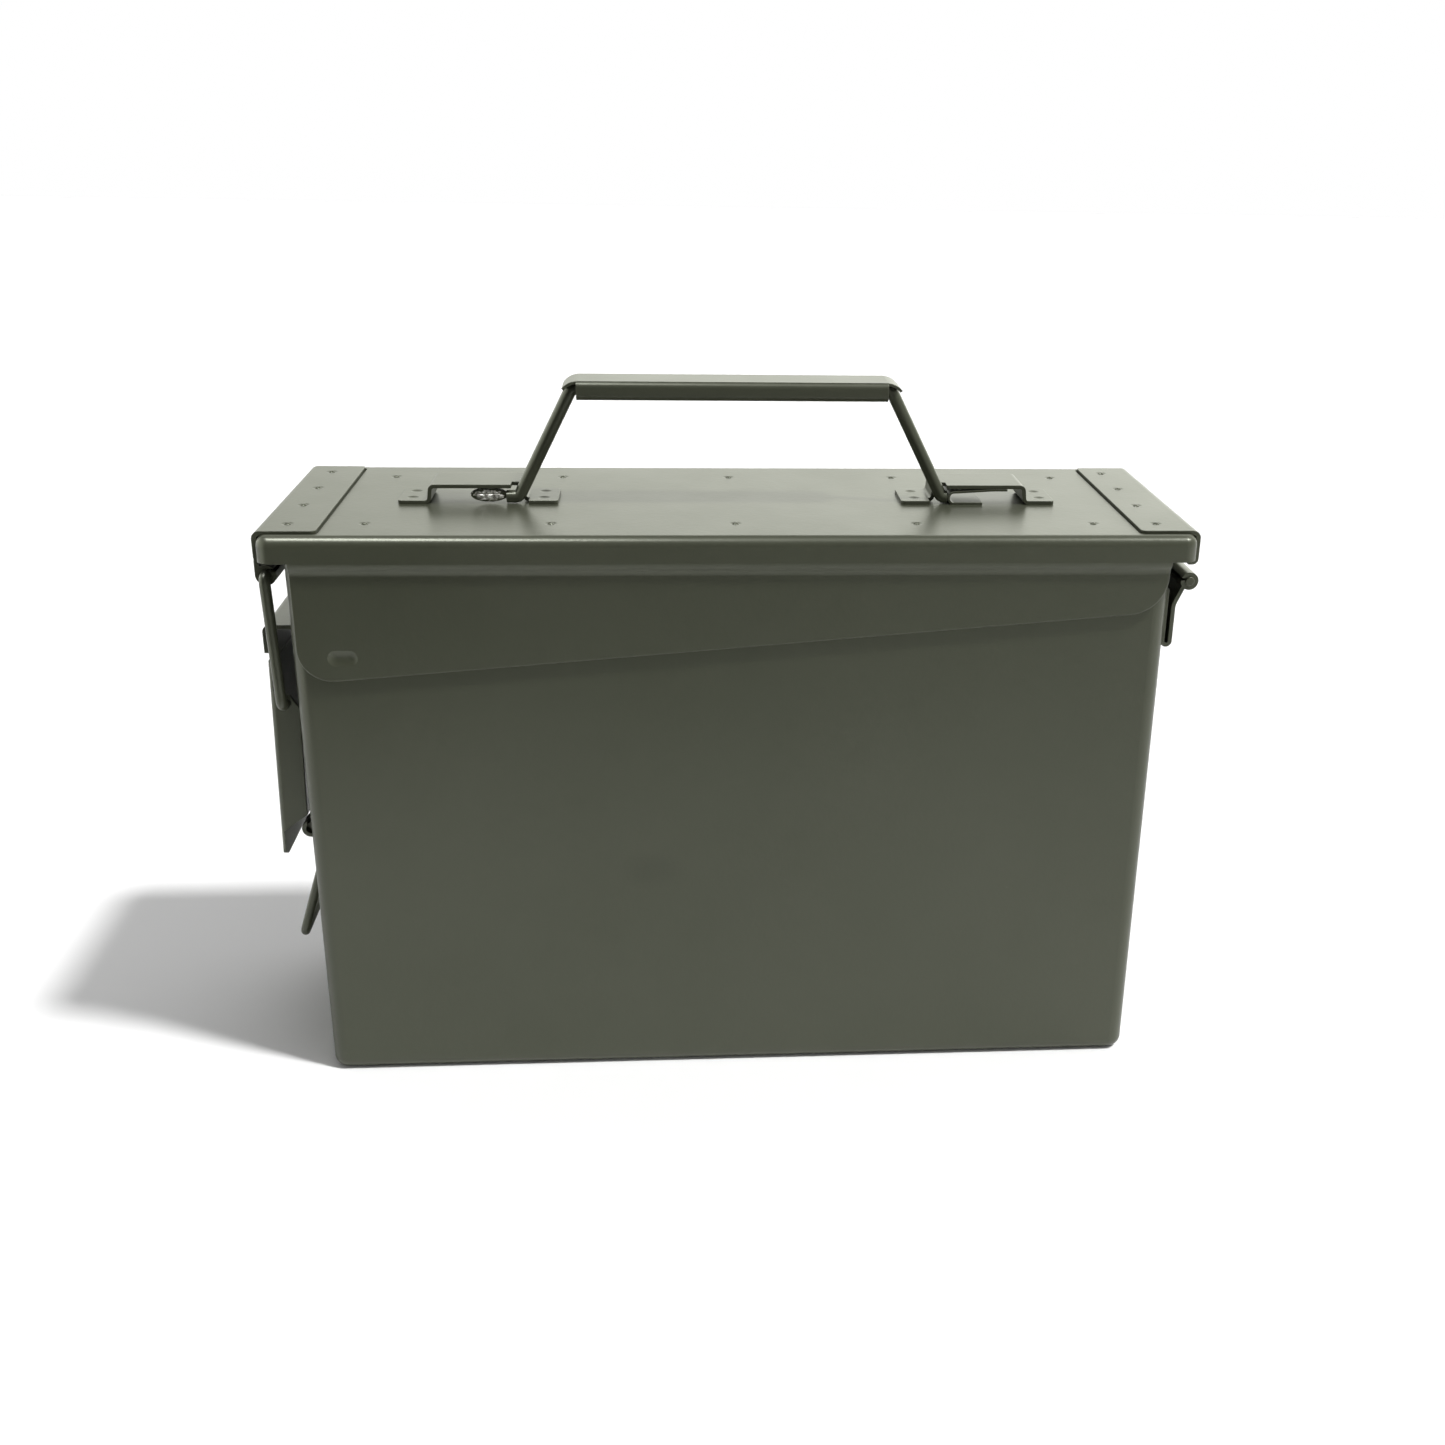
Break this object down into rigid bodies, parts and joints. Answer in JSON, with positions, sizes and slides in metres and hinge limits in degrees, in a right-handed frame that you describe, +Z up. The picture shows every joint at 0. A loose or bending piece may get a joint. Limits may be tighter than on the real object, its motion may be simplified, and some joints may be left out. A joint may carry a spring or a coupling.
{
  "type": "steel storage can with hinged lid",
  "caption": "Olive-drab pressed steel storage can with a gasketed hinged lid, over-centre wire-bail latch, folding wire handle and a small pull loop.",
  "frame": {"origin": "centre of the underside of the can, on the surface it stands on", "axes": "+X along the can towards the hinge end (the latch is at -X), +Y across it, +Z up"},
  "size_m": [0.2915, 0.0974, 0.2226],
  "materials": {
    "olive_paint": "semi-gloss olive paint on sheet steel",
    "worn_paint_on_steel": "olive paint, worn to bare steel at one flattened foot",
    "gasket_rubber": "matt black rubber"
  },
  "bodies": {
    "can_body": {"body_shell": "olive_paint", "bottom_pan": "olive_paint", "body_rim": "olive_paint", "catch_bracket": "olive_paint", "hinge_bracket": "olive_paint", "hinge_pin": "olive_paint"},
    "lid": {"lid_pan": "olive_paint", "lid_gasket": "gasket_rubber", "gasket_retainer": "olive_paint", "latch_strap": "olive_paint", "hinge_strap": "olive_paint", "handle_bracket_left": "olive_paint", "handle_bracket_right": "olive_paint", "handle_spring": "olive_paint"},
    "handle": {"handle_wire": "worn_paint_on_steel", "handle_grip": "olive_paint"},
    "bail": {"latch_bail": "olive_paint"},
    "lever": {"latch_lever": "olive_paint"},
    "loop": {"pull_loop": "olive_paint"}
  },
  "joints": [
    {"name": "lid_hinge", "type": "hinge", "parent": "can_body", "child": "lid", "pos_m": [0.1416, 0, 0.1666], "axis": [0, 1, 0], "range_deg": [0, 120]},
    {"name": "handle_swing", "type": "hinge", "parent": "lid", "child": "handle", "pos_m": [0, -0.0056, 0.18515], "axis": [1, 0, 0], "range_deg": [0, 80]},
    {"name": "bail_swing", "type": "hinge", "parent": "lid", "child": "bail", "pos_m": [-0.1413, 0, 0.168], "axis": [0, 1, 0], "range_deg": [0, 60]},
    {"name": "lever_swing", "type": "hinge", "parent": "bail", "child": "lever", "pos_m": [-0.14, 0, 0.1265], "axis": [0, 1, 0], "range_deg": [0, 102]},
    {"name": "loop_swing", "type": "hinge", "parent": "can_body", "child": "loop", "pos_m": [-0.13706, 0, 0.0815], "axis": [0, 1, 0], "range_deg": [0, 36]}
  ],
  "couplings": [
    {"joint": "lever_swing", "follows": "bail_swing", "ratio": 1.7}
  ]
}
